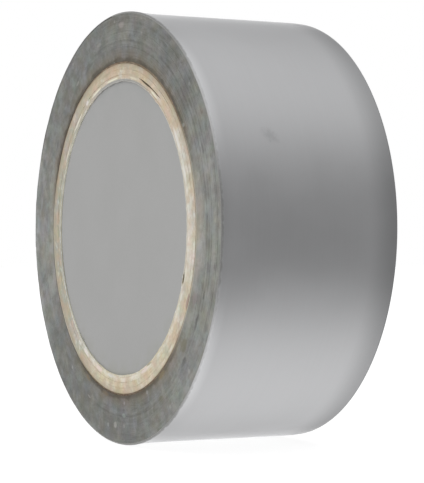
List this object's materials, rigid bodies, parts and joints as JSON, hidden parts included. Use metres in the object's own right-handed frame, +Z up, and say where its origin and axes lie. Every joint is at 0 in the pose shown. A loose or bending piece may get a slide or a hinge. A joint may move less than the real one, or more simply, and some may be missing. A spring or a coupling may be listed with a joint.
{
  "type": "duct tape roll",
  "caption": "Roll of silver cloth-backed duct tape on a spiral-wound paper core, with a plain card disc in the front mouth of the core and a free end that peels up.",
  "frame": {"origin": "on the core's bore axis, at mid width of the tape", "axes": "+Z up with the roll standing on its curved side; Y along the bore axis, -Y out of the front mouth that holds the card disc, +Y out of the open back mouth"},
  "size_m": [0.1126, 0.05, 0.1125],
  "materials": {
    "tape_film": "satin",
    "tape_edge": "matte",
    "tape_gauze": "matte",
    "tape_adhesive": "satin",
    "core_liner_paper": "matte",
    "core_board": "matte",
    "core_kraft_paper": "matte",
    "disc_paper": "matte",
    "disc_board": "matte"
  },
  "bodies": {
    "roll": {"core_inner_liner": "core_liner_paper", "core_inner_ply": "core_board", "core_middle_ply": "core_board", "core_outer_ply": "core_board", "core_kraft_wrap": "core_kraft_paper", "wound_tape": "tape_edge", "last_turn_backing": "tape_film", "last_turn_gauze": "tape_gauze", "last_turn_adhesive": "tape_adhesive"},
    "disc": {"disc_facing": "disc_paper", "disc_board": "disc_board"},
    "tail_1": {"tail_1_backing": "tape_film", "tail_1_gauze": "tape_gauze", "tail_1_adhesive": "tape_adhesive"},
    "tail_2": {"tail_2_backing": "tape_film", "tail_2_gauze": "tape_gauze", "tail_2_adhesive": "tape_adhesive"},
    "tail_3": {"tail_3_backing": "tape_film", "tail_3_gauze": "tape_gauze", "tail_3_adhesive": "tape_adhesive"},
    "tail_4": {"tail_4_backing": "tape_film", "tail_4_gauze": "tape_gauze", "tail_4_adhesive": "tape_adhesive"},
    "tail_5": {"tail_5_backing": "tape_film", "tail_5_gauze": "tape_gauze", "tail_5_adhesive": "tape_adhesive"},
    "tail_6": {"tail_6_backing": "tape_film", "tail_6_gauze": "tape_gauze", "tail_6_adhesive": "tape_adhesive"},
    "tail_7": {"tail_7_backing": "tape_film", "tail_7_gauze": "tape_gauze", "tail_7_adhesive": "tape_adhesive"},
    "tail_8": {"tail_8_backing": "tape_film", "tail_8_gauze": "tape_gauze", "tail_8_adhesive": "tape_adhesive"}
  },
  "joints": [
    {"name": "tail_peel", "type": "hinge", "parent": "roll", "child": "tail_1", "pos_m": [-0.00491, 0, 0.05614], "axis": [0, 1, 0], "range_deg": [0, 20]},
    {"name": "tail_bend_2", "type": "hinge", "parent": "tail_1", "child": "tail_2", "pos_m": [-0.00979, 0, 0.05549], "axis": [0, 1, 0], "range_deg": [0, 20]},
    {"name": "tail_bend_3", "type": "hinge", "parent": "tail_2", "child": "tail_3", "pos_m": [-0.01458, 0, 0.05443], "axis": [0, 1, 0], "range_deg": [0, 20]},
    {"name": "tail_bend_4", "type": "hinge", "parent": "tail_3", "child": "tail_4", "pos_m": [-0.01927, 0, 0.05295], "axis": [0, 1, 0], "range_deg": [0, 15]},
    {"name": "tail_bend_5", "type": "hinge", "parent": "tail_4", "child": "tail_5", "pos_m": [-0.03232, 0, 0.04616], "axis": [0, 1, 0], "range_deg": [0, 15]},
    {"name": "tail_bend_6", "type": "hinge", "parent": "tail_5", "child": "tail_6", "pos_m": [-0.04317, 0, 0.03622], "axis": [0, 1, 0], "range_deg": [0, 15]},
    {"name": "tail_bend_7", "type": "hinge", "parent": "tail_6", "child": "tail_7", "pos_m": [-0.05107, 0, 0.02381], "axis": [0, 1, 0], "range_deg": [0, 15]},
    {"name": "tail_bend_8", "type": "hinge", "parent": "tail_7", "child": "tail_8", "pos_m": [-0.05549, 0, 0.00979], "axis": [0, 1, 0], "range_deg": [0, 15]},
    {"name": "disc_pull", "type": "slide", "parent": "roll", "child": "disc", "axis": [0, -1, 0], "range_m": [0, 0.015]}
  ],
  "couplings": [
    {"joint": "tail_bend_2", "follows": "tail_peel", "ratio": 1},
    {"joint": "tail_bend_3", "follows": "tail_peel", "ratio": 1},
    {"joint": "tail_bend_4", "follows": "tail_peel", "ratio": 0.75},
    {"joint": "tail_bend_5", "follows": "tail_peel", "ratio": 0.75},
    {"joint": "tail_bend_6", "follows": "tail_peel", "ratio": 0.75},
    {"joint": "tail_bend_7", "follows": "tail_peel", "ratio": 0.75},
    {"joint": "tail_bend_8", "follows": "tail_peel", "ratio": 0.75}
  ]
}
